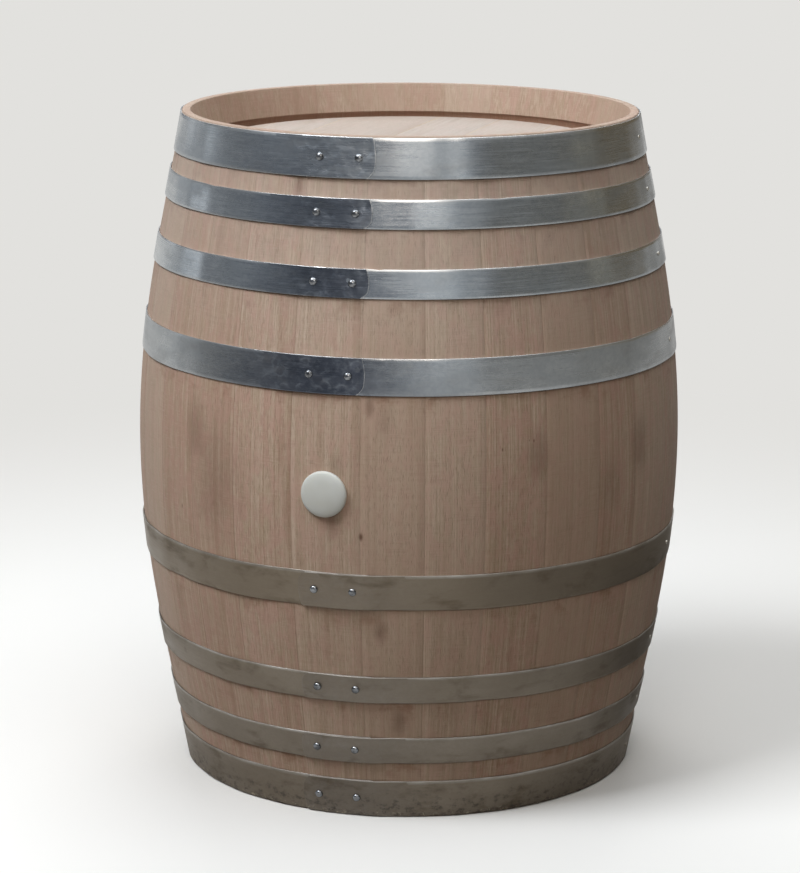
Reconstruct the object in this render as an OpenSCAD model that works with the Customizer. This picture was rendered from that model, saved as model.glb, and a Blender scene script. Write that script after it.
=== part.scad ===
// Oak wine barrel of 228 litres, standing on its lower end.
// Its wall is 28 bent staves, drawn together by eight riveted steel hoops. Each end is closed by a
// head of seven dowelled boards, which sits in a groove (the croze) cut round inside the staves.
// A soft tapered bung closes the hole at mid-height, and pulls straight out.
// Frame: the origin is on the axis at the lower end, +Z is up the axis, and the bung faces -Y.

/* [Barrel] */
// Height over the stave ends
barrel_h = 880; // [868:1:900]
// Diameter over the staves at the bilge, the widest place
bilge_d = 725; // [715:1:740]
// Diameter over the staves at each end
end_d = 602; // [592:1:612]
// Thickness of a stave
stave_t = 27; // [25:0.5:29]

/* [Stave ends and heads] */
// Width of the flat rim on a stave end
rim_w = 11; // [9:0.5:13]
// Length of the bevel inside each end, called the chime
chime_l = 38; // [34:1:40]
// Depth from the stave ends to the head's outer face
head_depth = 43; // [42:0.5:46]
// Thickness of a head board
head_t = 27; // [25:1:30]
// Thickness of the head's tongue, which is the width of the croze
tongue_t = 6; // [5:0.5:8]
// Depth of the croze
croze_depth = 5; // [3:0.5:6]
// Width of the bevel round the face of a head
head_bevel_w = 27; // [15:1:34]
// Thickness of the rush flagging between two head boards
rush_t = 0.8; // [0.5:0.1:1.5]

/* [Head dowels] */
// Diameter of a dowel
dowel_d = 8; // [6:0.5:10]
// Length of a dowel
dowel_l = 46; // [30:1:50]
// Distance between the two dowels of a joint
dowel_gap = 190; // [120:5:210]

/* [Hoops] */
// Thickness of the steel strip
hoop_t = 1.8; // [1.5:0.1:2.5]
// Length of the lap where a strip's two ends are riveted
lap_l = 92; // [80:1:110]
// Distance between the two rivets of a lap
rivet_gap = 50; // [40:1:56]
// Diameter of a rivet head
rivet_head_d = 10.5; // [8:0.5:12]
// Height of a rivet head
rivet_head_h = 3.6; // [2:0.1:4]
// Diameter of a rivet shank
rivet_d = 5; // [4:0.5:6]
// Diameter of a hoop nail's head
nail_head_d = 6; // [4:0.5:7]
// Height of a hoop nail's head
nail_head_h = 1.4; // [1:0.1:2]
// Diameter of a hoop nail
nail_d = 2.4; // [2:0.1:3]
// Length of a hoop nail under its head
nail_l = 19; // [12:1:22]

/* [Bung] */
// Diameter of the bung hole at the outside of its stave
bung_hole_d = 50; // [46:1:52]
// How much the hole narrows for each millimetre of depth, on its radius
bung_taper = 0.06; // [0.02:0.01:0.08]
// Clearance round the tapered plug, on its radius
bung_clearance = 0.15; // [0.1:0.05:0.3]
// Diameter of the bung's head
bung_head_d = 59; // [56:1:64]
// Height of the bung's head
bung_head_h = 9; // [7:0.5:12]
// Length of the plug below the head
bung_plug_l = 36; // [32:1:42]

/* [Hidden] */
// Width of each stave at the bilge before they are drawn up, round from the bung stave towards +X
STAVE_W = [
    91, 81, 77, 83, 84, 74, 88, 79, 85, 70, 82, 90, 76, 80,
    86, 72, 84, 78, 89, 75, 81, 87, 73, 85, 80, 77, 77, 87
];
// Width of each head board, from -X to +X
BOARD_W = [59, 75, 122, 88, 85, 82, 67];
// The staves that the hoop nails go into, at a quarter, a half and three quarters of the way round
NAIL_STAVES = [7, 14, 21];
// Each end's hoops from the end inwards: name, distance from the end at the top and at the bottom, width
HOOPS = [
    ["chime_hoop", 2, 2, 50],
    ["collar_hoop", 76, 78, 36],
    ["quarter_hoop", 160, 164, 36],
    ["bilge_hoop", 268, 292, 46]
];
// How far the middle of each hoop's lap lies from the line through the bung, from the top hoop down
LAP_SHIFT = [2, 2, 3, 3, 10, 8, 2, 0];
bilge_r = bilge_d / 2;
end_r = end_d / 2;
mid_z = barrel_h / 2;
bung_turn = -90;
// Angle where the ring of a hoop starts and ends, clear of its rivets and nails
ring_start = bung_turn + 45;
stave_count = len(STAVE_W);
board_count = len(BOARD_W);
// Longest straight step of a stave's outline
step_l = 60;
// How far a cutting shape runs past what it cuts, and how far two shapes that are one piece sink together
cut = 1;
merge = 0.05;
// Clearance round a shank in its hole, on its radius
shank_gap = 0.1;
$fn = 72;

function sum_of(list, n) = n <= 0 ? 0 : list[n - 1] + sum_of(list, n - 1);
function two_digits(i) = i < 10 ? str("0", i) : str(i);

// The bend of a stave: radius of its outside at a height
function bend(z) = let (u = (z - mid_z) / mid_z) bilge_r - (bilge_r - end_r) * (1.36 * u^2 - 0.36 * u^4);

// Hoops are numbered from 0 at the top end to 7 at the bottom end
function is_top(i) = i < 4;
function hoop_row(i) = HOOPS[is_top(i) ? i : 7 - i];
function hoop_low(i) = is_top(i) ? barrel_h - hoop_row(i)[1] - hoop_row(i)[3] : hoop_row(i)[2];
function hoop_high(i) = hoop_low(i) + hoop_row(i)[3];
function hoop_lean(i) = atan((bend(hoop_low(i)) - bend(hoop_high(i))) / hoop_row(i)[3]);
function hoop_mid_r(i) = (bend(hoop_low(i)) + bend(hoop_high(i))) / 2;
function hoop_name(i) = str(is_top(i) ? "top_" : "bottom_", hoop_row(i)[0]);
// Angle round the barrel that an arc length takes at a hoop
function hoop_arc(i, length) = length / hoop_mid_r(i) * 180 / PI;
function lap_turn(i) = bung_turn + hoop_arc(i, LAP_SHIFT[i]);

// Heights where the outline of a stave has a point: its ends, every hoop edge, and even steps between
BREAKS = [
    0,
    for (i = [7:-1:0]) each [hoop_low(i), hoop_high(i)],
    barrel_h
];
LEVELS = [
    for (i = [0:len(BREAKS) - 2])
        let (from = BREAKS[i], gap = BREAKS[i + 1] - from, n = ceil(gap / step_l))
            for (k = [0:n - 1]) from + k * gap / n,
    barrel_h
];

// Inside of a stave end from the rim to below the croze, as [distance from the end, radius]
croze_top = head_depth + (head_t - tongue_t) * 0.4;
croze_low = croze_top + tongue_t;
function inside(depth) = bend(depth) - stave_t;
croze_r = inside(croze_low) + croze_depth;
howel_r = inside(croze_top) + 1;
CHIME = [
    [0, end_r - rim_w],
    [chime_l, inside(chime_l)],
    [chime_l + 2, howel_r - 1.2],
    [chime_l + 5, howel_r],
    [croze_top, howel_r],
    [croze_top, croze_r],
    [croze_low, croze_r],
    [croze_low, inside(croze_low)]
];

// Angles of stave i
function stave_arc(i) = 360 * STAVE_W[i] / sum_of(STAVE_W, stave_count);
function stave_from(i) = bung_turn - stave_arc(0) / 2 + 360 * sum_of(STAVE_W, i) / sum_of(STAVE_W, stave_count);
function stave_middle(i) = stave_from(i) + stave_arc(i) / 2;
function stave_name(i) = i == 0 ? "bung_stave" : str("stave_", two_digits(i + 1));

// Edges of head board i along X, with half of the flagging left out at each joint
board_scale = 2 * croze_r / sum_of(BOARD_W, board_count);
function joint_x(i) = -croze_r + board_scale * sum_of(BOARD_W, i);
function board_from(i) = joint_x(i) + (i == 0 ? -cut : rush_t / 2);
function board_to(i) = joint_x(i + 1) + (i == board_count - 1 ? cut : -rush_t / 2);
function board_name(end, i) = str(end, "_head_board_", i + 1);

STAVES = [for (i = [0:stave_count - 1]) stave_name(i)];
HOOP_NAMES = [for (i = [0:7]) hoop_name(i)];
BOARDS = [for (end = ["top", "bottom"]) for (i = [0:board_count - 1]) board_name(end, i)];

// ---- staves ----

// Section of the wall in the half plane of radius and height
module wall_section() {
    outer = [for (z = LEVELS) [bend(z), z]];
    top_inside = [for (p = CHIME) [p[1], barrel_h - p[0]]];
    wall_inside = [
        for (k = [len(LEVELS) - 1:-1:0])
            if (LEVELS[k] > croze_low + 5 && LEVELS[k] < barrel_h - croze_low - 5)
                [bend(LEVELS[k]) - stave_t, LEVELS[k]]
    ];
    bottom_inside = [for (k = [len(CHIME) - 1:-1:0]) [CHIME[k][1], CHIME[k][0]]];
    polygon(concat(outer, top_inside, wall_inside, bottom_inside));
}

module stave(i) {
    color(i % 3 == 0 ? "burlywood" : (i % 3 == 1 ? "tan" : "wheat"))
        difference() {
            rotate([0, 0, stave_from(i)])
                rotate_extrude(angle = stave_arc(i)) wall_section();
            if (i == 0) bung_hole();
            for (s = NAIL_STAVES)
                if (s == i)
                    for (h = [0:7]) on_hoop(h, stave_middle(i)) nail_hole();
        }
}

// Tapered hole along Y, cut through the bung stave at mid-height
module bung_hole() {
    at_bung()
        translate([0, 0, -2 * stave_t])
            cylinder(h = 3 * stave_t, r1 = hole_r(2 * stave_t), r2 = hole_r(-stave_t));
}

// Radius of the bung hole at a depth below the outside of its stave
function hole_r(depth) = bung_hole_d / 2 - bung_taper * depth;

module at_bung() {
    translate([0, -bilge_r, mid_z])
        rotate([90, 0, 0]) children();
}

// ---- hoops ----

// Section of a strip that follows the bend, between two distances out from the wood
module strip_section(i, from, to) {
    polygon([
        [bend(hoop_low(i)) + from, hoop_low(i)],
        [bend(hoop_low(i)) + to, hoop_low(i)],
        [bend(hoop_high(i)) + to, hoop_high(i)],
        [bend(hoop_high(i)) + from, hoop_high(i)]
    ]);
}

// Places its children on the outside of the wood under hoop i, with their +Z standing out from it
module on_hoop(i, turn) {
    rotate([0, 0, turn])
        translate([hoop_mid_r(i), 0, (hoop_low(i) + hoop_high(i)) / 2])
            rotate([0, 90 - hoop_lean(i), 0]) children();
}

module on_lap(i) {
    for (side = [-1, 1])
        on_hoop(i, lap_turn(i) + side * hoop_arc(i, rivet_gap / 2)) children();
}

// One strip, lapped and riveted where its ends meet, nearly in line with the bung
module hoop(i) {
    lap = hoop_arc(i, lap_l);
    color(is_top(i) ? "slategray" : "gray")
        difference() {
            union() {
                rotate([0, 0, ring_start])
                    rotate_extrude() strip_section(i, 0, hoop_t);
                rotate([0, 0, lap_turn(i) - lap / 2])
                    rotate_extrude(angle = lap) strip_section(i, hoop_t / 2, 2 * hoop_t);
            }
            on_lap(i) shank_hole(rivet_d);
            for (s = NAIL_STAVES)
                on_hoop(i, stave_middle(s)) shank_hole(nail_d);
        }
}

// Hole through both layers of a hoop
module shank_hole(d) {
    cylinder(h = 6 * hoop_t, d = d + 2 * shank_gap, center = true);
}

// Round head on the plane z = 0
module dome(d, h) {
    ball_r = (d * d / 4 + h * h) / (2 * h);
    intersection() {
        translate([0, 0, h - ball_r]) sphere(r = ball_r);
        cylinder(h = h, d = d);
    }
}

// Rivets through the laps, flush with the wood inside and domed outside
module hoop_rivets() {
    color("lightsteelblue")
        for (i = [0:7])
            on_lap(i) {
                cylinder(h = 2 * hoop_t + merge, d = rivet_d);
                translate([0, 0, 2 * hoop_t]) dome(rivet_head_d, rivet_head_h);
            }
}

// Hole in a stave for a hoop nail
module nail_hole() {
    translate([0, 0, -nail_l - shank_gap])
        cylinder(h = nail_l + cut, d = nail_d + 2 * shank_gap);
}

// Nails through the hoops into the staves, which stop the hoops from slipping
module hoop_nails() {
    color("dimgray")
        for (i = [0:7], s = NAIL_STAVES)
            on_hoop(i, stave_middle(s)) {
                translate([0, 0, -nail_l]) cylinder(h = nail_l + hoop_t + merge, d = nail_d);
                translate([0, 0, hoop_t]) dome(nail_head_d, nail_head_h);
            }
}

// ---- heads ----

// Section of a head, as [radius, height above its outer face], outer face down
module head_section() {
    bevel_r = croze_r - croze_depth;
    face_r = bevel_r - head_bevel_w;
    polygon([
        [0, 0],
        [face_r, 0],
        [bevel_r, croze_top - head_depth],
        [croze_r, croze_top - head_depth],
        [croze_r, croze_low - head_depth],
        [bevel_r, croze_low - head_depth],
        [face_r, head_t],
        [0, head_t]
    ]);
}

// Places a head that is drawn outer face down at z = 0 in the named end of the barrel
module in_end(end) {
    if (end == "top")
        translate([0, 0, barrel_h - head_depth]) mirror([0, 0, 1]) children();
    else
        translate([0, 0, head_depth]) children();
}

module slab(from, to) {
    translate([from, -croze_r - cut, -cut])
        cube([to - from, 2 * croze_r + 2 * cut, head_t + 2 * cut]);
}

// The dowels of one head, two across each joint
module dowels() {
    for (i = [1:board_count - 1])
        for (side = [-1, 1])
            translate([joint_x(i), side * dowel_gap / 2, head_t / 2])
                rotate([0, 90, 0]) cylinder(h = dowel_l, d = dowel_d, center = true);
}

module head_board(end, i) {
    color(i % 2 == 0 ? "moccasin" : "wheat")
        in_end(end)
            difference() {
                intersection() {
                    rotate_extrude() head_section();
                    slab(board_from(i), board_to(i));
                }
                dowels();
            }
}

module head_dowels(end) {
    color("peru") in_end(end) dowels();
}

// Strips of flagging, one in each joint, with the dowels passing through them
module head_rush(end) {
    color("darkkhaki")
        in_end(end)
            difference() {
                intersection() {
                    rotate_extrude() head_section();
                    for (i = [1:board_count - 1])
                        slab(joint_x(i) - rush_t / 2, joint_x(i) + rush_t / 2);
                }
                dowels();
            }
}

// ---- bung ----

// Points of an arc about [x, y] from angle a to angle b
function arc(x, y, r, a, b) = [for (k = [0:6]) let (t = a + (b - a) * k / 6) [x + r * cos(t), y + r * sin(t)]];

// Half of a low dome from its edge to its middle, on a side of height low
function crown(r, low, high) = [for (k = [0:7]) let (t = 90 * k / 7) [r * cos(t), low + (high - low) * sin(t)]];

// Soft stopper: a domed head that stands on the stave, and a tapered plug
module bung() {
    seat = 0.3;
    side_h = 3.4;
    tip = 2;
    head_r = bung_head_d / 2;
    plug_r = hole_r(0) - bung_clearance;
    tip_r = hole_r(bung_plug_l) - bung_clearance;
    color("whitesmoke")
        at_bung()
            translate([0, 0, seat])
                rotate_extrude()
                    polygon(concat(
                        [[0, -bung_plug_l]],
                        arc(tip_r - tip, tip - bung_plug_l, tip, -90, 0),
                        [[plug_r, 0]],
                        arc(head_r - 1, 1, 1, -90, 0),
                        crown(head_r, side_h, bung_head_h)
                    ));
}

for (i = [0:stave_count - 1])
    stave(i);
for (i = [0:7])
    hoop(i);
for (end = ["top", "bottom"], i = [0:board_count - 1])
    head_board(end, i);
hoop_rivets();
hoop_nails();
head_dowels("top");  // top_head_dowels
head_dowels("bottom");  // bottom_head_dowels
head_rush("top");  // top_head_rush
head_rush("bottom");  // bottom_head_rush
bung();
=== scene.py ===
import math
import random

import bmesh
import bpy
from mathutils import Matrix, Vector


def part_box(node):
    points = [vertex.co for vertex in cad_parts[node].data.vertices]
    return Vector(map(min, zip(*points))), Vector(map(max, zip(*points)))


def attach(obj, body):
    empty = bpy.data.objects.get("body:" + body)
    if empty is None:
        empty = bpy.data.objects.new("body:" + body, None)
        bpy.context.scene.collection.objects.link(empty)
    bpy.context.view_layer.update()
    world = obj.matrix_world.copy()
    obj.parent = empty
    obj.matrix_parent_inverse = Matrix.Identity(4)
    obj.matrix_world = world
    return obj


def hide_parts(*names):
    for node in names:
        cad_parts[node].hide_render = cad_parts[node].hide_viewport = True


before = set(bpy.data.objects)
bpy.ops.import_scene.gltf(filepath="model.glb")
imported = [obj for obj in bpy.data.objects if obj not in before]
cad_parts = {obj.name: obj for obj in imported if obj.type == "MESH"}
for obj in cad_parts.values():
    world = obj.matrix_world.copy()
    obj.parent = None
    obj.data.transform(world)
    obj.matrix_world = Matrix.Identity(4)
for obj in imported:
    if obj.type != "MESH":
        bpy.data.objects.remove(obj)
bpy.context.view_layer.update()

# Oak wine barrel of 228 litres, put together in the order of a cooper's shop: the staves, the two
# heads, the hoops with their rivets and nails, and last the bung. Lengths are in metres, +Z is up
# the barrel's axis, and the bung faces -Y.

# ---------------------------------------------------------------------------------------------
# Staves
# Split oak, jointed along their edges, bent over a fire and planed round outside. Only the hoops
# hold them together. The fire has browned their inside; each end is bevelled and grooved.


class Finish:
    """A material being made: its nodes, ending in one Principled shader"""

    def __init__(self, name):
        self.material = bpy.data.materials.new(name)
        self.material.use_nodes = True
        self.tree = self.material.node_tree
        self.shader = self.tree.nodes["Principled BSDF"]

    def node(self, kind, inputs, **settings):
        """Adds a node, sets its settings, and sets or links its inputs"""
        made = self.tree.nodes.new("ShaderNode" + kind)
        for key, value in settings.items():
            setattr(made, key, value)
        for key, value in inputs.items():
            self.put(made.inputs[key], value)
        return made

    def put(self, socket, value):
        if isinstance(value, bpy.types.NodeSocket):
            self.tree.links.new(value, socket)
        else:
            socket.default_value = value

    def set(self, **inputs):
        """Sets or links the shader's inputs, named with _ for a space"""
        for key, value in inputs.items():
            self.put(self.shader.inputs[key.replace("_", " ")], value)

    def attribute(self, name, output="Vector"):
        return self.node("Attribute", {}, attribute_name=name).outputs[output]

    def place(self):
        return self.node("TexCoord", {}).outputs["Object"]

    def sized(self, vector, x, y, z):
        """Stretches a pattern so that one unit of it is x, y and z metres of the piece"""
        scale = (1 / x, 1 / y, 1 / z)
        return self.node("Mapping", {"Vector": vector, "Scale": scale}).outputs["Vector"]

    def noise(self, vector, detail=2.0, rough=0.5, warp=0.0):
        inputs = {"Vector": vector, "Scale": 1.0, "Detail": detail, "Roughness": rough, "Distortion": warp}
        return self.node("TexNoise", inputs).outputs["Fac"]

    def span(self, value, low, high, to_low=0.0, to_high=1.0):
        """Carries the range low to high over to another, and holds it there"""
        inputs = {"Value": value, "From Min": low, "From Max": high, "To Min": to_low, "To Max": to_high}
        return self.node("MapRange", inputs, interpolation_type="SMOOTHSTEP").outputs["Result"]

    def times(self, a, b):
        return self.node("Math", {0: a, 1: b}, operation="MULTIPLY").outputs[0]

    def plus(self, a, b):
        return self.node("Math", {0: a, 1: b}, operation="ADD").outputs[0]

    def larger(self, a, b):
        return self.node("Math", {0: a, 1: b}, operation="MAXIMUM").outputs[0]

    def parts(self, vector):
        """The three numbers in a vector"""
        return self.node("SeparateXYZ", {"Vector": vector}).outputs

    def mix(self, share, a, b, blend="MIX"):
        """Colour b laid over colour a"""
        made = self.node("Mix", {0: share, 6: a, 7: b}, data_type="RGBA", blend_type=blend)
        return made.outputs[2]

    def bump(self, height, depth, strength=1.0):
        inputs = {"Height": height, "Distance": depth, "Strength": strength}
        self.set(Normal=self.node("Bump", inputs).outputs[0])


def shade(red, green, blue):
    """A colour as mixed on a screen, 0 to 255, in the linear values that a shader takes"""
    def linear(v):
        v = v / 255
        return v / 12.92 if v <= 0.04045 else ((v + 0.055) / 1.055) ** 2.4
    return (linear(red), linear(green), linear(blue), 1.0)


def oak(name, pale, dark, pink, brown, green):
    """Raw planed oak. Its "grain" runs across the board, along it and down into it, in metres"""
    f = Finish(name)
    grain = f.attribute("grain")
    # the grain wanders a little from the straight
    wander = f.times(f.noise(f.sized(grain, 0.07, 0.4, 0.07), detail=1.0), 0.014)
    drift = f.node("CombineXYZ", {"X": wander}).outputs[0]
    grain = f.node("VectorMath", {0: grain, 1: drift}, operation="ADD").outputs[0]
    # growth rings cut lengthwise, as fine lines 1 to 3 mm apart, in broader bands
    rings = f.noise(f.sized(grain, 0.0022, 0.5, 0.006), detail=3.0, rough=0.65)
    fibres = f.noise(f.sized(grain, 0.0011, 0.011, 0.004), detail=2.0)
    bands = f.noise(f.sized(grain, 0.011, 1.2, 0.03), detail=2.0)
    # open pores, as short dark dashes along the grain
    pores = f.span(f.noise(f.sized(grain, 0.0006, 0.012, 0.0006), detail=1.0), 0.6, 0.72)
    # rays, as short pale flecks across it
    rays = f.span(f.noise(f.sized(grain, 0.010, 0.0018, 0.02), detail=2.0), 0.55, 0.7)
    # the wood's own colour shifts from beige to pink in soft clouds
    cloud = f.noise(f.sized(grain, 0.013, 0.034, 0.05), detail=4.0, rough=0.65, warp=0.4)
    tan = f.noise(f.sized(grain, 0.022, 0.26, 0.05), detail=3.0, rough=0.6)

    colour = f.mix(f.span(f.plus(f.times(rings, 0.75), f.times(fibres, 0.25)), 0.36, 0.64), pale, dark)
    colour = f.mix(f.span(bands, 0.42, 0.66, 0.0, 0.3), colour, dark)
    colour = f.mix(f.span(cloud, 0.4, 0.62, 0.0, 0.65), colour, pink)
    colour = f.mix(f.span(tan, 0.52, 0.8, 0.0, 0.5), colour, brown)
    colour = f.mix(f.times(rays, 0.22), colour, pale)
    olive = f.noise(f.sized(grain, 0.016, 0.05, 0.05), detail=5.0, rough=0.7, warp=0.5)
    colour = f.mix(f.span(olive, 0.5, 0.66, 0.0, 0.3), colour, green)
    f.colour = f.mix(f.times(pores, 0.3), colour, brown)
    f.set(Roughness=f.span(f.plus(rings, f.times(rays, 0.5)), 0.3, 1.1, 0.66, 0.5), Specular_IOR_Level=0.35)
    f.bump(f.plus(f.times(rings, 0.8), f.times(pores, -1.0)), 0.00018)
    return f


def stave_oak():
    """Oak with what marks a stave: its own log, fine joints, stains below the hoops, a toasted inside"""
    f = oak(
        "stave_oak", pale=shade(207, 185, 164), dark=shade(172, 145, 123), pink=shade(194, 155, 140),
        brown=shade(146, 114, 90), green=shade(172, 154, 124)
    )
    log = f.parts(f.attribute("log"))
    colour = f.mix(f.span(log["X"], 0.0, 1.0, 0.0, 0.4), f.colour, shade(206, 186, 166))
    colour = f.mix(f.span(log["Y"], 0.3, 1.0, 0.0, 0.35), colour, shade(170, 138, 117))
    mottle = f.noise(f.sized(f.place(), 0.03, 0.03, 0.03), detail=4.0, rough=0.6)
    # rain and iron leave brown patches where water stands under a hoop; right under each hoop's foot a dark
    # line is painted shadow
    below = f.attribute("below", "Fac")
    outer = f.attribute("outer", "Fac")
    under = f.times(f.span(below, -0.003, 0.0), f.span(below, 0.0, 0.035, 1.0, 0.0))
    under = f.times(under, f.span(mottle, 0.5, 0.7, 0.0, 0.55))
    colour = f.mix(f.times(under, outer), colour, shade(146, 104, 80))
    # painted shadow: a dark line on the wall just under each hoop's lower edge
    line = f.times(f.span(below, 0.0004, 0.003, 1.0, 0.0), f.span(below, -0.003, -0.001, 0.0, 0.55))
    colour = f.mix(f.times(line, outer), colour, shade(92, 66, 50))
    # the joint between two staves, a hairline with a little dirt in it
    joint = f.span(f.attribute("side", "Fac"), 0.0002, 0.0011, 0.18, 0.0)
    joint = f.times(joint, f.span(mottle, 0.3, 0.65, 0.4, 1.0))
    colour = f.mix(joint, colour, shade(104, 76, 58))
    # the plane has chattered across the grain here and there
    chatter = f.noise(f.sized(f.place(), 0.03, 0.03, 0.0014), detail=2.0)
    chatter = f.times(f.span(chatter, 0.45, 0.65), f.span(mottle, 0.42, 0.6, 0.0, 0.16))
    colour = f.mix(chatter, colour, shade(150, 122, 100))
    toast = f.times(f.attribute("toast", "Fac"), f.span(mottle, 0.2, 0.7, 1.0, 0.8))
    colour = f.mix(toast, colour, shade(116, 72, 44))
    # the wall pales in a mottle toward the top, where it leans back: fine dust, and a painted sheen of the
    # light from above
    dust = f.times(f.span(f.parts(f.place())["Z"], 0.5, 0.86), f.span(mottle, 0.3, 0.7, 0.16, 0.3))
    colour = f.mix(f.times(dust, outer), colour, shade(198, 190, 182))
    colour = f.mix(f.attribute("fresh", "Fac"), colour, shade(138, 117, 101))
    # soft dark marks: knots, drips, rubbed places, and under the bung a stain with the bung's painted shadow
    for turn, height, reach, depth in MARKS:
        at = on_wall(math.radians(turn), height)
        away = f.node("VectorMath", {0: f.place(), 1: at}, operation="SUBTRACT").outputs[0]
        away = f.sized(away, reach * 0.5, reach * 0.5, reach)
        far = f.node("VectorMath", {0: away}, operation="LENGTH").outputs["Value"]
        smudge = f.span(f.plus(far, f.times(mottle, 0.9)), 0.5, 1.6, depth, 0.0)
        colour = f.mix(smudge, colour, shade(98, 66, 48))
    f.set(Base_Color=colour)
    return f.material


top_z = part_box("stave_02")[1].z
mid_z = top_z / 2


def radius(co):
    return math.hypot(co.x, co.y)


def cad_points(node):
    return [v.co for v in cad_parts[node].data.vertices]


bilge_r = max(radius(co) for co in cad_points("stave_02"))
end_r = max(radius(co) for co in cad_points("stave_02") if co.z > top_z - 1e-4)
rim_r = min(radius(co) for co in cad_points("stave_02") if co.z > top_z - 1e-4)


def bend(z):
    """Radius of the outside of the staves at a height"""
    u = (z - mid_z) / mid_z
    return bilge_r - (bilge_r - end_r) * (1.36 * u ** 2 - 0.36 * u ** 4)


def on_wall(turn, z):
    """The point on the outside at an angle from the bung and a height"""
    r = bend(z)
    return Vector((r * math.sin(turn), -r * math.cos(turn), z))


# Pin knots, drips and rubbed places: turn from the bung in degrees, height, half length, darkness. The patch
# just under the bung (1.6 degrees, 0.408 m) is a stain with the bung's painted shadow in it.
MARKS = [
    (35.6, 0.496, 0.0035, 1.0), (42.4, 0.504, 0.0028, 0.9), (41.4, 0.505, 0.002, 0.7),
    (7.4, 0.387, 0.007, 0.9), (43.4, 0.484, 0.042, 0.34), (72.0, 0.475, 0.05, 0.36),
    (62.0, 0.43, 0.05, 0.2), (12.0, 0.535, 0.03, 0.18), (15.2, 0.139, 0.026, 0.45),
    (9.0, 0.552, 0.016, 0.45), (11.1, 0.262, 0.024, 0.45), (1.6, 0.408, 0.03, 0.5),
    (2.4, 0.475, 0.022, 0.22), (-9.2, 0.815, 0.02, 0.4), (-32.2, 0.495, 0.05, 0.3),
    (-26.0, 0.44, 0.1, 0.3), (-37.0, 0.39, 0.004, 0.6), (118.0, 0.61, 0.006, 0.9),
    (164.0, 0.33, 0.008, 0.8), (201.0, 0.52, 0.005, 0.9), (236.0, 0.24, 0.04, 0.4),
    (290.0, 0.47, 0.006, 0.8)
]
STAVE_T = 0.027
CHIME_L = 0.038
HOWEL_L = 0.005
RIM_SOFT = 0.0019
HOOP_KINDS = ("chime_hoop", "collar_hoop", "quarter_hoop", "bilge_hoop")
HOOPS = [end + kind for end in ("top_", "bottom_") for kind in HOOP_KINDS]
hoop_feet = [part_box(hoop)[0].z for hoop in HOOPS]
head_top, head_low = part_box("top_head_board_4")[1].z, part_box("top_head_board_4")[0].z
croze_r = max(radius(co) for co in cad_points("top_head_board_4"))
tongue = [co.z for co in cad_points("top_head_board_4") if radius(co) > croze_r - 1e-4]
croze_top, croze_low = max(tongue), min(tongue)


def softened(start, corner, end):
    """A corner rounded off, as a few points from start to end"""
    points = []
    for t in (0.0, 0.25, 0.5, 0.75, 1.0):
        shares = ((1 - t) ** 2, 2 * t * (1 - t), t ** 2)
        held = list(zip(shares, (start, corner, end)))
        points.append(tuple(sum(share * point[i] for share, point in held) for i in (0, 1)))
    return points


def stave_outline():
    """Section of the wall, as radius and height, once round from the foot of the outside"""
    howel_r = bend(croze_top) - STAVE_T + 0.001
    chime_foot = (bend(top_z - CHIME_L) - STAVE_T, top_z - CHIME_L)
    down = RIM_SOFT / CHIME_L
    inside = (rim_r + (chime_foot[0] - rim_r) * down, top_z - RIM_SOFT)
    outside = (bend(top_z - RIM_SOFT), top_z - RIM_SOFT)
    chime = [
        *softened(outside, (bend(top_z), top_z), (bend(top_z) - RIM_SOFT, top_z)),
        *softened((rim_r + RIM_SOFT, top_z), (rim_r, top_z), inside),
        chime_foot,
        (howel_r - 0.0012, top_z - CHIME_L - 0.002),
        (howel_r, top_z - CHIME_L - HOWEL_L),
        (howel_r, croze_top),
        (croze_r, croze_top),
        (croze_r, croze_low),
        (bend(croze_low) - STAVE_T, croze_low)
    ]
    steps_out, steps_in = 110, 40
    outer_z = (top_z * k / steps_out for k in range(1, steps_out))
    inner_z = (croze_low + (top_z - 2 * croze_low) * k / steps_in for k in range(1, steps_in))
    outer = [(bend(z), z) for z in outer_z]
    inner = [(bend(z) - STAVE_T, z) for z in inner_z]
    foot = [(r, top_z - z) for r, z in reversed(chime)]
    return outer + chime + inner + foot


def sides_of(node):
    """Angles of a CAD stave's two sides about the axis, low and high"""
    points = cad_points(node)
    middle = sum(points, Vector())
    middle = math.atan2(middle.y, middle.x)
    turns = [math.remainder(math.atan2(co.y, co.x) - middle, math.tau) for co in points]
    return middle + min(turns), middle + max(turns)


def solid_object(name, bm, material, sharp=35):
    """Makes a finished piece from a bmesh: closed, faces outwards, smooth but for its sharp edges"""
    bmesh.ops.remove_doubles(bm, verts=bm.verts, dist=1e-6)
    bmesh.ops.recalc_face_normals(bm, faces=bm.faces)
    mesh = bpy.data.meshes.new(name)
    bm.to_mesh(mesh)
    bm.free()
    mesh.shade_smooth()
    mesh.set_sharp_from_angle(angle=math.radians(sharp))
    mesh.materials.append(material)
    piece = bpy.data.objects.new(name, mesh)
    bpy.context.scene.collection.objects.link(piece)
    return piece


def note(piece, name, kind, values):
    """Stores a number or a vector for each point of a piece, for its finish to read"""
    layer = piece.data.attributes.new(name, kind, "POINT")
    flat = [n for value in values for n in value] if kind == "FLOAT_VECTOR" else values
    layer.data.foreach_set("vector" if kind == "FLOAT_VECTOR" else "value", flat)


def bevel(bm, edges, width, segments=2):
    bmesh.ops.bevel(
        bm, geom=edges, offset=width, offset_type="OFFSET", segments=segments, profile=0.5,
        affect="EDGES", clamp_overlap=True, material=-1
    )


JOINT_GAP = 0.00002
ARRIS = 0.00014
outline = stave_outline()
stave_finish = stave_oak()


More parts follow.
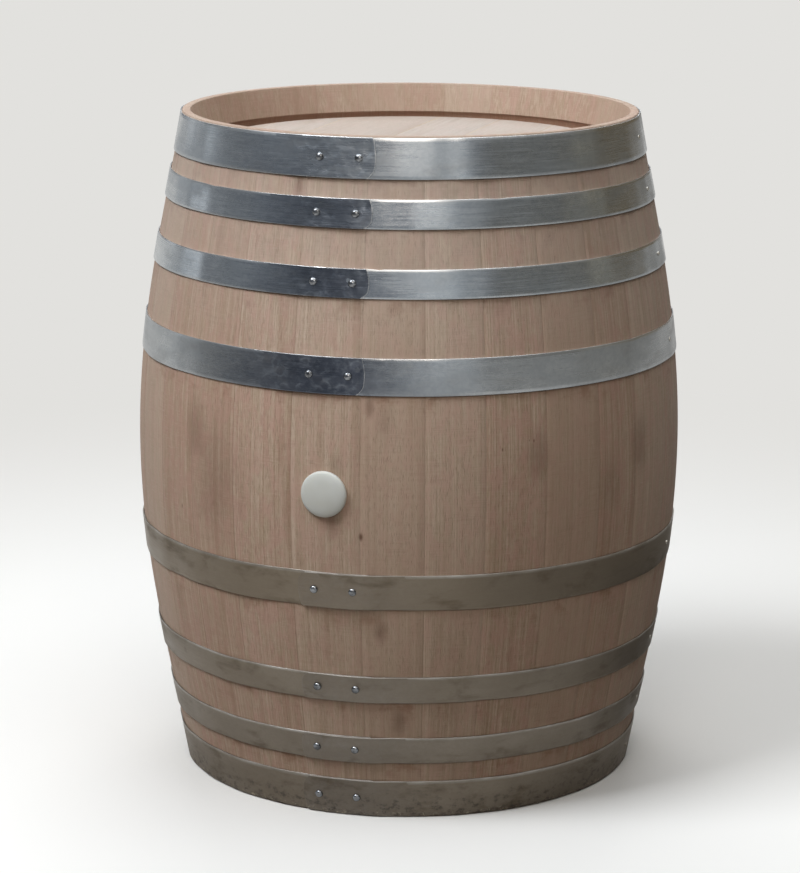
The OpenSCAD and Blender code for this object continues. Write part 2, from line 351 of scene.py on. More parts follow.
def make_stave(node, seed):
    luck = random.Random(seed)
    low, high = sides_of(node)
    middle, half = (low + high) / 2, (high - low) / 2 - JOINT_GAP / bilge_r
    shift = luck.uniform(-0.00006, 0.00003)
    bm = bmesh.new()
    across, along = math.cos(middle - half), math.sin(middle - half)
    ring = [bm.verts.new(((r + shift) * across, (r + shift) * along, z)) for r, z in outline]
    face = bm.faces.new(ring)
    bmesh.ops.spin(
        bm, geom=[face, *face.edges, *ring], cent=(0, 0, 0), axis=(0, 0, 1), angle=2 * half, steps=8,
        use_merge=False, use_duplicate=False
    )
    bmesh.ops.recalc_face_normals(bm, faces=bm.faces)

    def outside(v):
        return radius(v.co) > bend(v.co.z) + shift - 1e-5

    def at_side(v):
        turn = math.remainder(math.atan2(v.co.y, v.co.x) - middle, math.tau)
        return abs(turn) > half - 1e-5

    long_arris = [e for e in bm.edges if all(outside(v) and at_side(v) for v in e.verts)]
    bevel(bm, long_arris, ARRIS)
    piece = solid_object("oak_" + node, bm, stave_finish)
    if node == "bung_stave":
        bore_bung_hole(piece)
    # each stave is split from its own place in its own log
    place = Vector((luck.uniform(-9, 9), luck.uniform(-9, 9), luck.uniform(-9, 9)))
    log = (luck.random(), luck.random(), luck.random())
    points = [v.co for v in piece.data.vertices]
    turns = [math.remainder(math.atan2(co.y, co.x) - middle, math.tau) for co in points]
    depths = [bend(co.z) - radius(co) for co in points]
    grain = [place + Vector((bilge_r * turn, co.z, depth)) for co, turn, depth in zip(points, turns, depths)]
    note(piece, "grain", "FLOAT_VECTOR", grain)
    note(piece, "log", "FLOAT_VECTOR", [log] * len(points))
    note(piece, "side", "FLOAT", [(half - abs(turn)) * radius(co) for co, turn in zip(points, turns)])
    note(piece, "outer", "FLOAT", [1.0 if depth < 0.001 else 0.0 for depth in depths])
    note(piece, "below", "FLOAT", [below_hoop(co.z) for co in points])
    note(piece, "toast", "FLOAT", [toasted(co, depth) for co, depth in zip(points, depths)])
    note(piece, "fresh", "FLOAT", [freshly_cut(co, depth) for co, depth in zip(points, depths)])
    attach(piece, "barrel")
    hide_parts(node)


def below_hoop(z):
    """Distance down from the foot of the hoop above. It starts again behind each hoop, out of sight"""
    behind_hoop = 0.018
    above = [foot for foot in hoop_feet if foot + behind_hoop > z]
    return min(above) - z if above else -1.0


def toasted(co, depth):
    """How far the fire has browned a point: full on the inside, less at the groove, none on the chime"""
    end = min(co.z, top_z - co.z)
    if end < CHIME_L + 0.001:
        return 0.0
    if end < top_z - croze_low and depth > STAVE_T / 2:
        return 0.75
    return max(0.0, min(1.0, (depth - STAVE_T + 0.004) / 0.003))


def freshly_cut(co, depth):
    """How far a point has the tint of the rim and the chime, which are cut after the firing"""
    end = min(co.z, top_z - co.z)
    if end < RIM_SOFT:
        return 0.5
    return 0.25 if depth > 0.001 and end < CHIME_L + 0.001 else 0.0


# The bung hole is bored through the widest stave and reamed to a taper.
def bore_bung_hole(stave):
    bung_low, bung_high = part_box("bung")
    bung_z = (bung_low.z + bung_high.z) / 2
    bung_hole_limit = (bung_high.z - bung_low.z) / 2
    reaches = [math.hypot(co.x, co.z - bung_z) for co in cad_points("bung_stave")]
    hole_r = max(reach for reach in reaches if reach < bung_hole_limit)
    taper = 0.06
    bm = bmesh.new()
    length = 0.06
    inward = Matrix.Translation((0, -bilge_r, bung_z)) @ Matrix.Rotation(-math.pi / 2, 4, "X")
    widening = taper * length / 2
    bmesh.ops.create_cone(
        bm, cap_ends=True, segments=64, radius1=hole_r + widening, radius2=hole_r - widening,
        depth=length, matrix=inward
    )
    cutter = solid_object("reamer", bm, stave_finish)
    cut = stave.modifiers.new("bung_hole", "BOOLEAN")
    cut.operation = "DIFFERENCE"
    cut.solver = "EXACT"
    cut.object = cutter
    graph = bpy.context.evaluated_depsgraph_get()
    bored = bpy.data.meshes.new_from_object(stave.evaluated_get(graph))
    stave.modifiers.clear()
    stave.data = bored
    bored.set_sharp_from_angle(angle=math.radians(35))
    bpy.data.objects.remove(cutter)


for number in range(1, 29):
    node = "bung_stave" if number == 1 else f"stave_{number:02d}"
    make_stave(node, number)

# ---------------------------------------------------------------------------------------------
# Heads
# Seven boards of sawn oak, dowelled edge to edge with dried rush between, then turned to a disc.
# The bevelled edge leaves a tongue, which the staves close on in the croze.


def head_oak():
    f = oak(
        "head_oak", pale=shade(179, 169, 160), dark=shade(163, 149, 138), pink=shade(174, 157, 147),
        brown=shade(150, 131, 116), green=shade(166, 156, 141)
    )
    log = f.parts(f.attribute("log"))
    f.set(Base_Color=f.mix(f.span(log["X"], 0.0, 1.0, 0.0, 0.3), f.colour, shade(162, 143, 127)))
    return f.material


SEAM_BEVEL = 0.00012
head_finish = head_oak()
flat_r = max(radius(co) for co in cad_points("top_head_board_4") if co.z > head_top - 1e-4)
tongue_r = bend(croze_top) - STAVE_T - 0.0002


def make_board(end, number):
    node = f"{end}_head_board_{number}"
    low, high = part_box(node)
    luck = random.Random(node)
    section = [
        (0, head_top), (flat_r, head_top), (tongue_r, croze_top), (croze_r, croze_top),
        (croze_r, croze_low), (tongue_r, croze_low), (flat_r, head_low), (0, head_low)
    ]
    bm = bmesh.new()
    line = [bm.verts.new((r, 0, z)) for r, z in section]
    edges = [bm.edges.new(pair) for pair in zip(line, line[1:])]
    bmesh.ops.spin(
        bm, geom=[*line, *edges], cent=(0, 0, 0), axis=(0, 0, 1), angle=math.tau, steps=180,
        use_merge=True, use_duplicate=False
    )
    bmesh.ops.remove_doubles(bm, verts=bm.verts, dist=1e-6)
    for x, out in ((low.x, -1), (high.x, 1)):
        if abs(abs(x) - croze_r) < 0.002:
            continue
        cut = bmesh.ops.bisect_plane(
            bm, geom=[*bm.verts, *bm.edges, *bm.faces], plane_co=(x, 0, 0), plane_no=(out, 0, 0),
            clear_outer=True
        )
        edge_loop = [e for e in cut["geom_cut"] if isinstance(e, bmesh.types.BMEdge)]
        bmesh.ops.contextual_create(bm, geom=edge_loop)
        bmesh.ops.recalc_face_normals(bm, faces=bm.faces)
        left = [e for e in edge_loop if e.is_valid]
        faced = [e for e in left if all(abs(v.co.z - head_top) < 1e-5 for v in e.verts)]
        bevel(bm, faced, SEAM_BEVEL)
    if end == "bottom":
        for v in bm.verts:
            v.co.z = top_z - v.co.z
    piece = solid_object("oak_" + node, bm, head_finish, sharp=25)
    place = Vector((luck.uniform(-9, 9), luck.uniform(-9, 9), luck.uniform(-9, 9)))
    points = [v.co for v in piece.data.vertices]
    note(piece, "grain", "FLOAT_VECTOR", [place + co for co in points])
    note(piece, "log", "FLOAT_VECTOR", [(luck.random(), luck.random(), luck.random())] * len(points))
    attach(piece, "barrel")
    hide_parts(node)


for end in ("top", "bottom"):
    for number in range(1, 8):
        make_board(end, number)


# ---------------------------------------------------------------------------------------------
# Dowels and flagging
# Oak pegs, two to a joint, keep the boards of a head in line, and strips of dried rush pressed
# between the boards seal it. Both lie inside the joints, so they keep their CAD shape.


def give(node, finish):
    """Lays a finish on a CAD node that keeps its own shape"""
    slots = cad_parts[node].material_slots
    for slot in slots:
        slot.material = finish
    if not slots:
        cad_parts[node].data.materials.append(finish)


def dowel_oak():
    """Turned oak: the grain runs along the dowel, which lies along X"""
    f = Finish("dowel_oak")
    rings = f.noise(f.sized(f.place(), 0.2, 0.002, 0.003), detail=2.0)
    f.set(Base_Color=f.mix(f.span(rings, 0.3, 0.7), shade(206, 174, 140), shade(166, 128, 92)))
    f.set(Roughness=f.span(rings, 0.3, 0.7, 0.7, 0.55))
    f.bump(rings, 0.0002)
    return f.material


def dried_rush():
    """Dried rush pressed flat: yellow-brown fibres along Y"""
    f = Finish("rush")
    fibres = f.noise(f.sized(f.place(), 0.001, 0.15, 0.0012), detail=3.0)
    f.set(Base_Color=f.mix(f.span(fibres, 0.35, 0.65), shade(196, 174, 138), shade(158, 132, 96)))
    f.set(Roughness=f.span(fibres, 0.3, 0.7, 0.85, 0.65))
    f.bump(fibres, 0.0003)
    return f.material


dowel_finish = dowel_oak()
rush_finish = dried_rush()
for end in ("top", "bottom"):
    give(end + "_head_dowels", dowel_finish)
    give(end + "_head_rush", rush_finish)

# ---------------------------------------------------------------------------------------------
# Hoops
# Galvanised steel strip, cut to length, flared to the slope of the wood, lapped and riveted into
# a ring, and driven on from the barrel's end. The two halves were hooped with the barrel turned
# over in between, so the laps of the upper and lower hoops run opposite ways.


def hoop_steel(name, dirt_and_floor_reflection, blued, reach):
    """Galvanised strip: from 0 to 1 how browned it is, by dirt and by a painted dull brown reflection of the
    floor, and how dark at its lap, and how far that reaches
    """
    f = Finish(name)
    strip = f.attribute("strip")
    away = f.parts(f.attribute("from_lap"))
    rolled = f.noise(f.sized(strip, 0.5, 0.0008, 0.01), detail=3.0)
    brushed = f.noise(f.sized(strip, 0.05, 0.0013, 0.01), detail=3.0, warp=0.2)
    haze = f.noise(f.sized(strip, 0.11, 0.05, 0.05), detail=2.0, rough=0.5)
    swirl = f.noise(f.sized(strip, 0.0075, 0.0065, 0.01), detail=4.0, rough=0.6, warp=1.2)
    grime = f.noise(f.sized(strip, 0.06, 0.028, 0.05), detail=5.0, rough=0.6, warp=0.3)
    speck = f.noise(f.sized(strip, 0.011, 0.009, 0.01), detail=5.0, rough=0.7)
    beaten = f.span(f.plus(away["X"], f.times(grime, 0.09)), 0.055, reach, 1.0, 0.0)

    colour = f.mix(f.span(haze, 0.35, 0.65), shade(193, 198, 202), shade(175, 181, 186))
    colour = f.mix(f.span(swirl, 0.35, 0.65, 0.0, 0.3), colour, shade(140, 150, 160))
    colour = f.mix(f.span(brushed, 0.5, 0.75, 0.0, 0.12), colour, shade(206, 210, 212))
    # browned by dirt, and on the lower hoops darkened with a painted dull brown reflection of the floor
    colour = f.mix(0.04 + 0.86 * dirt_and_floor_reflection, colour, shade(114, 99, 78))
    colour = f.mix(f.times(beaten, blued), colour, shade(87, 92, 103))
    # hammer marks round the rivets, as shallow rings in the zinc
    blows = {"Vector": f.sized(strip, 0.014, 0.012, 0.02), "Scale": 1.0}
    ring = f.node("TexVoronoi", blows, feature="SMOOTH_F1").outputs["Distance"]
    ring = f.plus(ring, f.times(swirl, 0.25))
    arc = f.times(f.span(ring, 0.45, 0.56), f.span(ring, 0.58, 0.7, 1.0, 0.0))
    arc = f.times(f.times(arc, beaten), f.span(grime, 0.48, 0.62, 0.0, 0.3 - 0.28 * dirt_and_floor_reflection))
    colour = f.mix(arc, colour, shade(176, 184, 192))
    clear = f.noise(f.sized(strip, 0.009, 0.008, 0.01), detail=5.0, rough=0.7, warp=0.4)
    clear = f.times(f.span(clear, 0.44, 0.78), f.times(beaten, 0.32 - 0.28 * dirt_and_floor_reflection))
    colour = f.mix(clear, colour, shade(170, 180, 190))
    dirt = f.span(grime, 0.5, 0.75, 0.0, 0.15 + 0.4 * dirt_and_floor_reflection)
    colour = f.mix(dirt, colour, shade(84, 72, 56))
    # next to the floor a hoop is spotted with mud and chipped along its edge
    low = f.span(f.parts(f.place())["Z"], 0.0, 0.055, 1.0, 0.0)
    mud = f.times(low, f.span(f.plus(speck, f.times(low, 0.06)), 0.54, 0.72, 0.0, 0.7))
    colour = f.mix(mud, colour, shade(58, 51, 44))
    chip = f.times(f.span(f.parts(f.place())["Z"], 0.0, 0.011, 1.0, 0.0), f.span(swirl, 0.55, 0.66))
    colour = f.mix(chip, colour, shade(190, 180, 162))
    # painted highlight: the upper edge, and the cut end where it shows, are lightened as if they catch the
    # light
    edge = f.attribute("edge", "Fac")
    bright = f.times(edge, f.span(grime, 0.3, 0.6, 0.7 - 0.3 * dirt_and_floor_reflection, 0.4 - 0.25 * dirt_and_floor_reflection))
    colour = f.mix(bright, colour, shade(226, 226, 224))
    f.set(Base_Color=colour, Metallic=f.plus(1.0, f.times(mud, -0.9)))
    rough = f.span(haze, 0.3, 0.7, 0.21 + 0.2 * dirt_and_floor_reflection, 0.31 + 0.2 * dirt_and_floor_reflection)
    rough = f.plus(rough, f.plus(f.times(dirt, 0.25), f.times(f.plus(mud, chip), 0.3)))
    f.set(Roughness=f.plus(rough, f.span(brushed, 0.3, 0.7, -0.03, 0.05)))
    height = f.plus(f.times(f.times(f.span(ring, 0.3, 0.7), beaten), 0.9), f.times(rolled, 0.06))
    f.bump(f.plus(height, f.plus(f.times(haze, 1.6), f.times(f.times(swirl, beaten), 0.5))), 0.0003)
    return f.material


STRIP_T = 0.0018
# Gap between the strip and the wood, and between the two layers of a lap
FIT = 0.0003
LAP_FIT = 0.0002
LAP_L = 0.092
RISE_L = 0.03
RIVET_GAP = 0.05
WAVE_SLOPE = 0.012
EDGE_W = 0.0009
# From the top hoop down to the bilge, then from the bottom hoop up to the bilge: how browned each one is,
# by dirt and, on the lower hoops, by a painted dull brown reflection of the floor, and how dark at its lap
HOOP_DIRT_AND_FLOOR_REFLECTION = [0.06, 0.04, 0.0, 0.16, 0.95, 0.92, 0.94, 0.98]
HOOP_BLUED = [0.28, 0.76, 0.88, 1.0, 0.12, 0.08, 0.08, 0.08]
# How far from the lap the dark stain fades out, and how far away the strip under the lap counts as
# lying where it comes out: a large value cuts the stain off there
HOOP_STAIN = [0.22, 0.2, 0.18, 0.31, 0.2, 0.2, 0.2, 0.2]
HOOP_PAST = [0.15, 0.13, 0.13, 0.06, 0.1, 0.1, 0.1, 0.1]


def hoop_middle(node):
    """Radius and height at the middle of a hoop's width, and the slope of the wood there"""
    low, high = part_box(node)
    r, z = (bend(low.z) + bend(high.z)) / 2, (low.z + high.z) / 2
    return r, z, math.atan((bend(high.z) - bend(low.z)) / (high.z - low.z))


def rivet_turns(node):
    """Angles from the bung of the two rivets in a hoop's lap"""
    _, z, _ = hoop_middle(node)
    near = sorted(math.atan2(co.x, -co.y) for co in cad_points("hoop_rivets") if abs(co.z - z) < 0.006)
    middle = (near[0] + near[-1]) / 2
    left = [turn for turn in near if turn < middle]
    right = [turn for turn in near if turn > middle]
    return (left[0] + left[-1]) / 2, (right[0] + right[-1]) / 2


def dented(along, across, dents):
    """How far the strip is beaten in at a point by a few shallow round dents"""
    total = 0.0
    for x, y, wide, deep in dents:
        total += deep * math.exp(-((along - x) ** 2 + (across - y) ** 2) / wide ** 2)
    return total


def sheared(across):
    """How far the cut end falls short, from -1 at the edge toward the bilge to 1 at the other"""
    return 0.004 * across ** 2 + 0.006 * (max(0.0, -across - 0.5) / 0.5) ** 2


def make_hoop(node, number):
    low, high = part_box(node)
    upper = low.z > mid_z
    luck = random.Random(40 + number)
    middle_r, middle_z, lean = hoop_middle(node)
    half_w = (high.z - low.z) / math.cos(lean) / 2
    length = math.tau * middle_r + LAP_L
    lap_turn = sum(rivet_turns(node)) / 2
    steps_long, steps_wide = 700, 10
    bm = bmesh.new()
    bmesh.ops.create_grid(bm, x_segments=steps_long, y_segments=steps_wide, size=0.5)
    bmesh.ops.scale(bm, vec=(length, 2 * half_w, 1), verts=bm.verts)
    bmesh.ops.translate(bm, vec=(length / 2, 0, 0), verts=bm.verts)
    # the lap gets closer points, for the marks of the hammer
    lap_edges = [e for e in bm.edges if all(v.co.x > length - 1.5 * LAP_L for v in e.verts)]
    bmesh.ops.subdivide_edges(bm, edges=lap_edges, cuts=2, use_grid_fill=True)
    # the cut end that shows is sheared a little round, with the corner nearer the bilge rounder
    for v in bm.verts:
        v.co.x -= max(0.0, 1 - (length - v.co.x) / 0.04) * sheared(v.co.y / half_w)
    bmesh.ops.solidify(bm, geom=bm.faces, thickness=STRIP_T)
    bmesh.ops.recalc_face_normals(bm, faces=bm.faces)
    rim = [e for e in bm.edges if len(e.link_faces) == 2 and e.calc_face_angle(0) > 0.8]
    bevel(bm, rim, 0.0004)
    floor_z = min(v.co.z for v in bm.verts)
    waves = [(luck.uniform(8, 55), luck.uniform(0, math.tau), luck.uniform(0.3, 1.0)) for _ in range(11)]
    riveted = [length - LAP_L / 2 + side * RIVET_GAP / 2 for side in (-1, 1)]
    dents = [(x, 0, 0.012, 0.0005) for x in riveted]
    dents += [(riveted[1] + 0.012, 0.009, 0.0055, 0.0007), (riveted[1] + 0.004, 0.017, 0.004, -0.0003)]
    for _ in range(14):
        at = (length - luck.uniform(0.01, 0.9) * LAP_L, luck.uniform(-0.8, 0.8) * half_w)
        dents.append((*at, luck.uniform(0.003, 0.007), luck.uniform(-0.0001, 0.00035)))
    # the driver's blows have nicked the upper edge here and there
    nicks = []
    for _ in range(7):
        nicks.append((luck.uniform(0, length), luck.uniform(0.005, 0.012), luck.uniform(0.0004, 0.001)))
    strip_notes = []
    for v in bm.verts:
        along, across, out = v.co.x, v.co.y, v.co.z - floor_z
        strip_notes.append((along, across, out))
        lifted = max(0.0, min(1.0, (along - (length - LAP_L - RISE_L)) / RISE_L))
        lifted = lifted * lifted * (3 - 2 * lifted)
        rise = lifted * (STRIP_T + LAP_FIT)
        wave = sum(size / count * math.sin(count * along / middle_r + phase) for count, phase, size in waves)
        wave = wave * WAVE_SLOPE * middle_r - lifted * dented(along, across, dents)
        worn_in = sum(deep * math.exp(-((along - x) / wide) ** 2) for x, wide, deep in nicks)
        across -= worn_in * max(0.0, across / half_w - 0.8) / 0.2
        if not upper:
            across = -across
        out += FIT + rise + wave
        r = middle_r + across * math.sin(lean) + out * math.cos(lean)
        z = middle_z + across * math.cos(lean) - out * math.sin(lean)
        turn = (along - (length - LAP_L / 2)) / middle_r
        turn = lap_turn + (turn if upper else -turn)
        v.co = (r * math.sin(turn), -r * math.cos(turn), z)
    finish = hoop_steel("steel_" + node, HOOP_DIRT_AND_FLOOR_REFLECTION[number], HOOP_BLUED[number], HOOP_STAIN[number])
    piece = solid_object("hoop_" + node, bm, finish, sharp=50)
    note(piece, "strip", "FLOAT_VECTOR", [(a + 5 * number, b, c) for a, b, c in strip_notes])
    lap_at = length - LAP_L / 2
    past = HOOP_PAST[number] - LAP_L / 2
    from_lap = [(min(abs(a - lap_at), a + past), b, c) for a, b, c in strip_notes]
    note(piece, "from_lap", "FLOAT_VECTOR", from_lap)
    up = 1 if upper else -1
    # the cut end and the upper edge get a painted highlight, strong on the ends of the upper hoops
    cut_end = [a > length - sheared(b / half_w) - EDGE_W for a, b, _ in strip_notes]
    top_edge = [up * b > half_w - EDGE_W for _, b, _ in strip_notes]
    end_highlight = 0.9 if upper else 0.15
    note(piece, "edge", "FLOAT", [max(end_highlight * end, edge) for end, edge in zip(cut_end, top_edge)])
    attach(piece, "barrel")
    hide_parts(node)


for number, node in enumerate(HOOPS):
    make_hoop(node, number)

# ---------------------------------------------------------------------------------------------
# Rivets and nails
# Two soft steel rivets close each lap, their heads hammered to a dome. Small nails through the
# strip, at a quarter turn and more from the bung, keep the hoops from slipping on dry wood.


def head_metal(name, colour, dull, rough):
    f = Finish(name)
    beaten = f.noise(f.sized(f.place(), 0.0022, 0.0022, 0.0022), detail=3.0)
    stain = f.noise(f.sized(f.place(), 0.012, 0.012, 0.02), detail=3.0)
    f.set(Base_Color=f.mix(f.span(stain, 0.45, 0.65), colour, dull), Metallic=1.0)
    f.set(Roughness=f.span(beaten, 0.3, 0.7, rough - 0.04, rough + 0.1))
    f.bump(beaten, 0.00012)
    return f.material


def dome(bm, at, out, head_r, head_h, dimple=0.0):
    """Adds a hammered head at a point, standing along out: a curve spun about its own axis"""
    curve = [(0, -0.0006), (head_r, -0.0006), (head_r, 0.0003)]
    curve += [(head_r * math.cos(t), 0.0003 + (head_h - 0.0003) * math.sin(t))
              for t in (math.radians(angle) for angle in (10, 22, 35, 48, 61, 74))]
    curve += [(0, head_h - dimple)]
    side = out.orthogonal().normalized()
    line = [bm.verts.new(at + side * r + out * h) for r, h in curve]
    edges = [bm.edges.new(pair) for pair in zip(line, line[1:])]
    bmesh.ops.spin(
        bm, geom=[*line, *edges], cent=at, axis=out, angle=math.tau, steps=28,
        use_merge=True, use_duplicate=False
    )


def heads_on(bm, node, turns, lift, head_r, head_h, dimple=0.0):
    r, z, lean = hoop_middle(node)
    for turn in turns:
        level = math.cos(lean)
        out = Vector((math.sin(turn) * level, -math.cos(turn) * level, -math.sin(lean)))
        at = Vector((r * math.sin(turn), -r * math.cos(turn), z)) + out * lift
        dome(bm, at, out, head_r, head_h, dimple)


RIVET_R, RIVET_H = 0.0052, 0.0035
NAIL_R, NAIL_H, NAIL_DIMPLE = 0.0029, 0.0014, 0.0005
bm = bmesh.new()
for node in HOOPS:
    heads_on(bm, node, rivet_turns(node), 2 * STRIP_T + FIT, RIVET_R, RIVET_H)
rivet_steel = head_metal("rivet_steel", shade(138, 140, 143), shade(92, 93, 95), 0.17)
rivets = solid_object("rivet_heads", bm, rivet_steel, 60)
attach(rivets, "barrel")
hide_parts("hoop_rivets")


def nail_turns():
    """Angles from the bung of the rows of nails"""
    turns = sorted(math.atan2(co.x, -co.y) % math.tau for co in cad_points("hoop_nails"))
    rows = [[turns[0]]]
    for turn in turns[1:]:
        if turn - rows[-1][-1] > math.radians(10):
            rows.append([])
        rows[-1].append(turn)
    return [(row[0] + row[-1]) / 2 for row in rows]


bm = bmesh.new()
for node in HOOPS:
    heads_on(bm, node, nail_turns(), STRIP_T + FIT, NAIL_R, NAIL_H, NAIL_DIMPLE)
nail_steel = head_metal("nail_steel", shade(186, 182, 174), shade(130, 122, 110), 0.3)
nails = solid_object("nail_heads", bm, nail_steel, 60)
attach(nails, "barrel")
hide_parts("hoop_nails")

# ---------------------------------------------------------------------------------------------
# Bung
# A solid stopper moulded in white silicone: a low domed head with a soft edge, and a tapered
# plug that wedges in the reamed hole. It is pushed in and pulled out by hand.


def silicone():
    f = Finish("bung_silicone")
    haze = f.noise(f.sized(f.place(), 0.05, 0.05, 0.05), detail=2.0)
    skin = f.noise(f.sized(f.place(), 0.0012, 0.0012, 0.0012), detail=2.0)
    dust = f.noise(f.sized(f.place(), 0.004, 0.004, 0.004), detail=4.0, rough=0.7)
    colour = f.mix(f.span(haze, 0.35, 0.65), shade(220, 222, 217), shade(211, 212, 205))
    f.set(Base_Color=f.mix(f.span(dust, 0.6, 0.8, 0.0, 0.18), colour, shade(176, 168, 152)))
    f.set(Roughness=f.span(haze, 0.3, 0.7, 0.42, 0.5), Subsurface_Weight=0.25, Subsurface_Scale=0.004)
    f.set(Subsurface_Radius=(1.0, 0.9, 0.75))
    f.bump(skin, 0.00003)
    return f.material


def make_bung():
    low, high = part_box("bung")
    at = Vector((0, -bilge_r, (low.z + high.z) / 2))
    points = [co - at for co in cad_points("bung")]
    head_r = (high.z - low.z) / 2
    head_h = -min(co.y for co in points)
    plug_l = max(co.y for co in points)
    plug_r = max(math.hypot(co.x, co.z) for co in points if co.y > 0.0005)
    tip_r = plug_r - 0.06 * plug_l
    edge = 0.0034

    def arc(x, y, r, start, end, count=7):
        turns = [math.radians(start + (end - start) * k / count) for k in range(count + 1)]
        return [(x + r * math.cos(t), y + r * math.sin(t)) for t in turns]

    curve = [(0, -plug_l), *arc(tip_r - 0.002, 0.002 - plug_l, 0.002, -90, 0, 4), (plug_r, -0.0006)]
    curve += [*arc(head_r - 0.001, 0.0013, 0.001, -90, 0, 4)]
    crown = [math.radians(90 * k / 14) for k in range(15)]
    curve += [(head_r * math.cos(t), edge + (head_h - edge) * math.sin(t)) for t in crown]
    bm = bmesh.new()
    line = [bm.verts.new((r, 0, h)) for r, h in curve]
    edges = [bm.edges.new(pair) for pair in zip(line, line[1:])]
    bmesh.ops.spin(
        bm, geom=[*line, *edges], cent=(0, 0, 0), axis=(0, 0, 1), angle=math.tau, steps=96,
        use_merge=True, use_duplicate=False
    )
    bmesh.ops.rotate(bm, cent=(0, 0, 0), matrix=Matrix.Rotation(math.pi / 2, 3, "X"), verts=bm.verts)
    bmesh.ops.translate(bm, vec=at, verts=bm.verts)
    # the soft underside of the head lies down on the round of the wood
    for v in bm.verts:
        out = -v.co.y - bilge_r
        reach = math.hypot(v.co.x, v.co.z - at.z)
        if 0 <= out < 0.002 and reach > plug_r + 0.001:
            v.co.y += bilge_r - math.sqrt(bilge_r ** 2 - v.co.x ** 2) - 0.0002
    piece = solid_object("silicone_bung", bm, silicone(), sharp=60)
    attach(piece, "bung")
    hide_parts("bung")


make_bung()

# ---------------------------------------------------------------------------------------------
# Floor, lights and camera
# A pale studio floor, a large soft light high on the left with weaker ones in front, above and
# behind, and a camera a little above the barrel, about four metres away.


FLOOR_PALE = shade(226, 225, 222)


def paper():
    """Pale matt paper. What the lens and the steel see of it fades to an even pale ground far out"""
    f = Finish("studio_floor")
    path = f.node("LightPath", {}).outputs
    seen = f.larger(path["Is Camera Ray"], path["Is Glossy Ray"])
    seen = f.larger(seen, path["Is Transmission Ray"])
    # painted dark reflection: only the steel sees a dimmer, brown floor close to the barrel, to its right
    # and in front of it on the left
    out = f.node("VectorMath", {0: f.place()}, operation="LENGTH").outputs["Value"]
    at = f.parts(f.place())
    far = f.span(out, 1.0, 2.4, 1.0, 0.1)
    far = f.larger(far, f.span(at["Y"], -0.8, 0.8, 0.0, 0.6))
    right = f.times(f.span(at["X"], 0.15, 0.9, 0.0, 0.85), far)
    behind = f.times(f.span(at["X"], 0.2, 0.5, 0.0, 0.9), f.span(at["Y"], -0.3, 0.2))
    behind = f.times(behind, f.span(out, 1.2, 2.6, 1.0, 0.45))
    right = f.larger(right, behind)
    left = f.times(f.span(at["X"], -1.6, -0.2, 0.62, 0.0), f.span(at["Y"], -0.8, 0.4, 1.0, 0.0))
    right = f.larger(right, left)
    near = f.span(out, 0.45, 1.3, 0.3, 0.0)
    dim = f.larger(right, near)
    dim = f.times(path["Is Glossy Ray"], dim)
    ground = f.mix(seen, shade(112, 108, 102), shade(240, 238, 234))
    f.set(Base_Color=f.mix(dim, ground, shade(46, 38, 26)), Roughness=0.9)
    glow = f.node("Emission", {"Color": FLOOR_PALE, "Strength": 1.0}).outputs[0]
    glowing = f.times(f.times(seen, f.span(out, 0.7, 2.4)), f.plus(1.0, f.times(dim, -1.0)))
    both = f.node("MixShader", {0: glowing, 1: f.shader.outputs[0], 2: glow})
    f.put(f.tree.nodes["Material Output"].inputs["Surface"], both.outputs[0])
    return f.material


bm = bmesh.new()
bmesh.ops.create_grid(bm, x_segments=1, y_segments=1, size=30)
floor = solid_object("studio_floor", bm, paper())
if floor.data.polygons[0].normal.z < 0:
    floor.data.flip_normals()


def soft_light(name, turn, rise, reach, size, power, tint):
    """A soft square light aimed at the barrel: turn from the lens and rise in degrees, reach in metres"""
    light = bpy.data.lights.new(name, "AREA")
    light.size = size
    light.energy = power
    light.color = tint
    lamp = bpy.data.objects.new(name, light)
    turn, rise = CAMERA_TURN + math.radians(turn), math.radians(rise)
    toward = Vector((math.sin(turn) * math.cos(rise), -math.cos(turn) * math.cos(rise), math.sin(rise)))
    lamp.location = Vector((0, 0, mid_z)) + toward * reach
    lamp.rotation_euler = toward.to_track_quat("Z", "Y").to_euler()
    bpy.context.scene.collection.objects.link(lamp)


CAMERA_TURN = math.radians(16.8)
soft_light("key", -60, 54, 6.0, 2.6, 268, (0.96, 1.0, 1.05))
soft_light("fill", 0, 34, 5.0, 2.0, 38, (1.02, 0.92, 0.82))
soft_light("top", 50, 78, 3.2, 2.2, 47, (0.95, 1.02, 1.08))
soft_light("back", 180, 46, 4.5, 3.0, 80, (1.0, 1.0, 1.0))


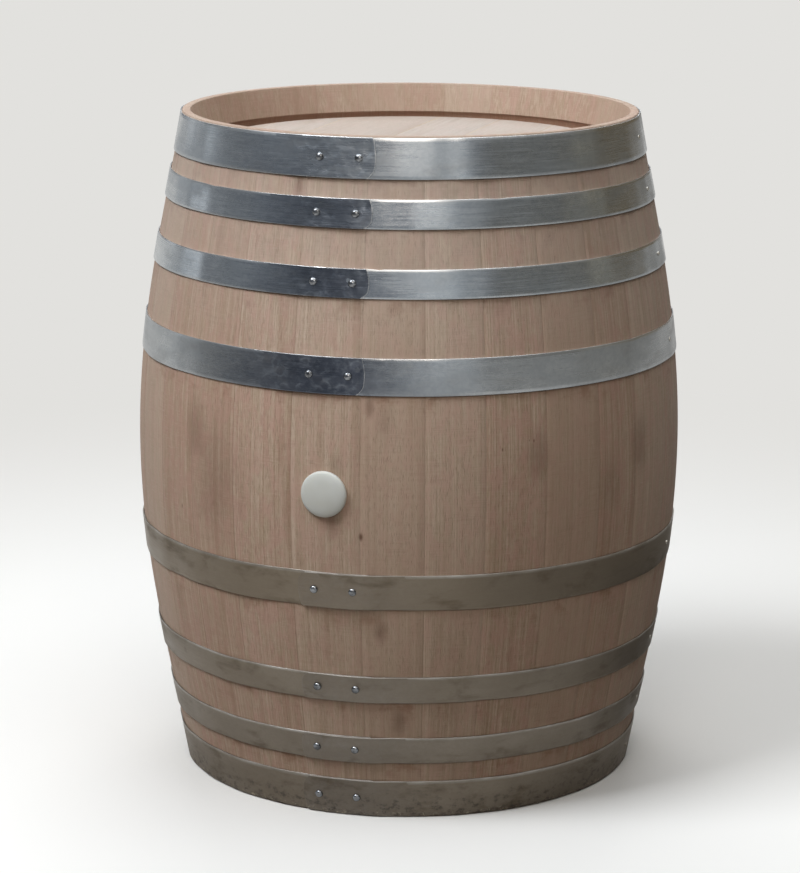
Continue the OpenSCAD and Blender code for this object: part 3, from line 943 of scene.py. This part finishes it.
def studio():
    """Even light for matt surfaces, and for steel a grey room with a bright window behind the lens"""
    world = bpy.data.worlds.new("studio")
    bpy.context.scene.world = world
    world.use_nodes = True
    tree = world.node_tree
    tree.nodes.clear()

    def node(kind, inputs, **settings):
        made = tree.nodes.new("ShaderNode" + kind)
        for key, value in settings.items():
            setattr(made, key, value)
        for key, value in inputs.items():
            if isinstance(value, bpy.types.NodeSocket):
                tree.links.new(value, made.inputs[key])
            else:
                made.inputs[key].default_value = value
        return made

    def panel(colour, turn, rise, narrow, wide, paint):
        """Lays a soft patch of another colour over the room, round a direction from the lens"""
        turn, rise = CAMERA_TURN + math.radians(turn), math.radians(rise)
        toward = (math.sin(turn) * math.cos(rise), -math.cos(turn) * math.cos(rise), math.sin(rise))
        facing = node("VectorMath", {0: direction, 1: toward}, operation="DOT_PRODUCT").outputs["Value"]
        outer, inner = math.cos(math.radians(wide)), math.cos(math.radians(narrow))
        inputs = {"Value": facing, "From Min": outer, "From Max": inner}
        share = node("MapRange", inputs, interpolation_type="SMOOTHSTEP").outputs["Result"]
        return node("Mix", {0: share, 6: colour, 7: paint}, data_type="RGBA").outputs[2]

    direction = node("TexCoord", {}).outputs["Generated"]
    room = shade(124, 129, 137)
    room = panel(room, -112, 5, 10, 42, shade(129, 132, 136))
    room = panel(room, -48, -12, 10, 30, shade(95, 99, 106))
    room = panel(room, 60, 0, 16, 40, shade(118, 117, 113))
    room = panel(room, 122, 0, 22, 52, shade(114, 103, 84))
    room = panel(room, 92, 8, 3, 12, shade(150, 146, 134))
    room = panel(room, -113, 4, 3, 8, (0.95, 0.99, 1.03, 1.0))
    room = panel(room, -136, 4, 3, 8, (0.8, 0.83, 0.86, 1.0))
    room = panel(room, 12, 5, 4, 19, shade(226, 231, 234))
    room = panel(room, 0, 90, 40, 75, shade(232, 232, 230))
    path = node("LightPath", {}).outputs
    mirrored = node("Background", {"Color": room, "Strength": 1.0}).outputs[0]
    even = node("Background", {"Color": (1.0, 0.92, 0.84, 1), "Strength": 0.035}).outputs[0]
    wall = node("Background", {"Color": FLOOR_PALE, "Strength": 1.0}).outputs[0]
    lit = node("MixShader", {0: path["Is Glossy Ray"], 1: even, 2: mirrored}).outputs[0]
    seen = {0: path["Is Camera Ray"], 1: path["Is Transmission Ray"]}
    seen = node("Math", seen, operation="MAXIMUM").outputs[0]
    final = node("MixShader", {0: seen, 1: lit, 2: wall}).outputs[0]
    node("OutputWorld", {"Surface": final})


studio()

CAMERA_REACH = 4.022
CAMERA_Z = 1.358
camera_data = bpy.data.cameras.new("camera")
camera_data.lens = 125.66
camera_data.sensor_width = 36
camera_data.sensor_fit = "VERTICAL"
camera_data.sensor_height = 36
camera = bpy.data.objects.new("camera", camera_data)
camera.location = (CAMERA_REACH * math.sin(CAMERA_TURN), -CAMERA_REACH * math.cos(CAMERA_TURN), CAMERA_Z)
pitch, yaw, roll = math.radians(12.94), math.radians(-0.17), math.radians(0.26)
camera.rotation_euler = (
    Matrix.Rotation(CAMERA_TURN - yaw, 4, "Z") @ Matrix.Rotation(math.pi / 2 - pitch, 4, "X")
    @ Matrix.Rotation(roll, 4, "Z")
).to_euler()
bpy.context.scene.collection.objects.link(camera)
bpy.context.scene.camera = camera
bpy.context.scene.view_settings.view_transform = "Standard"
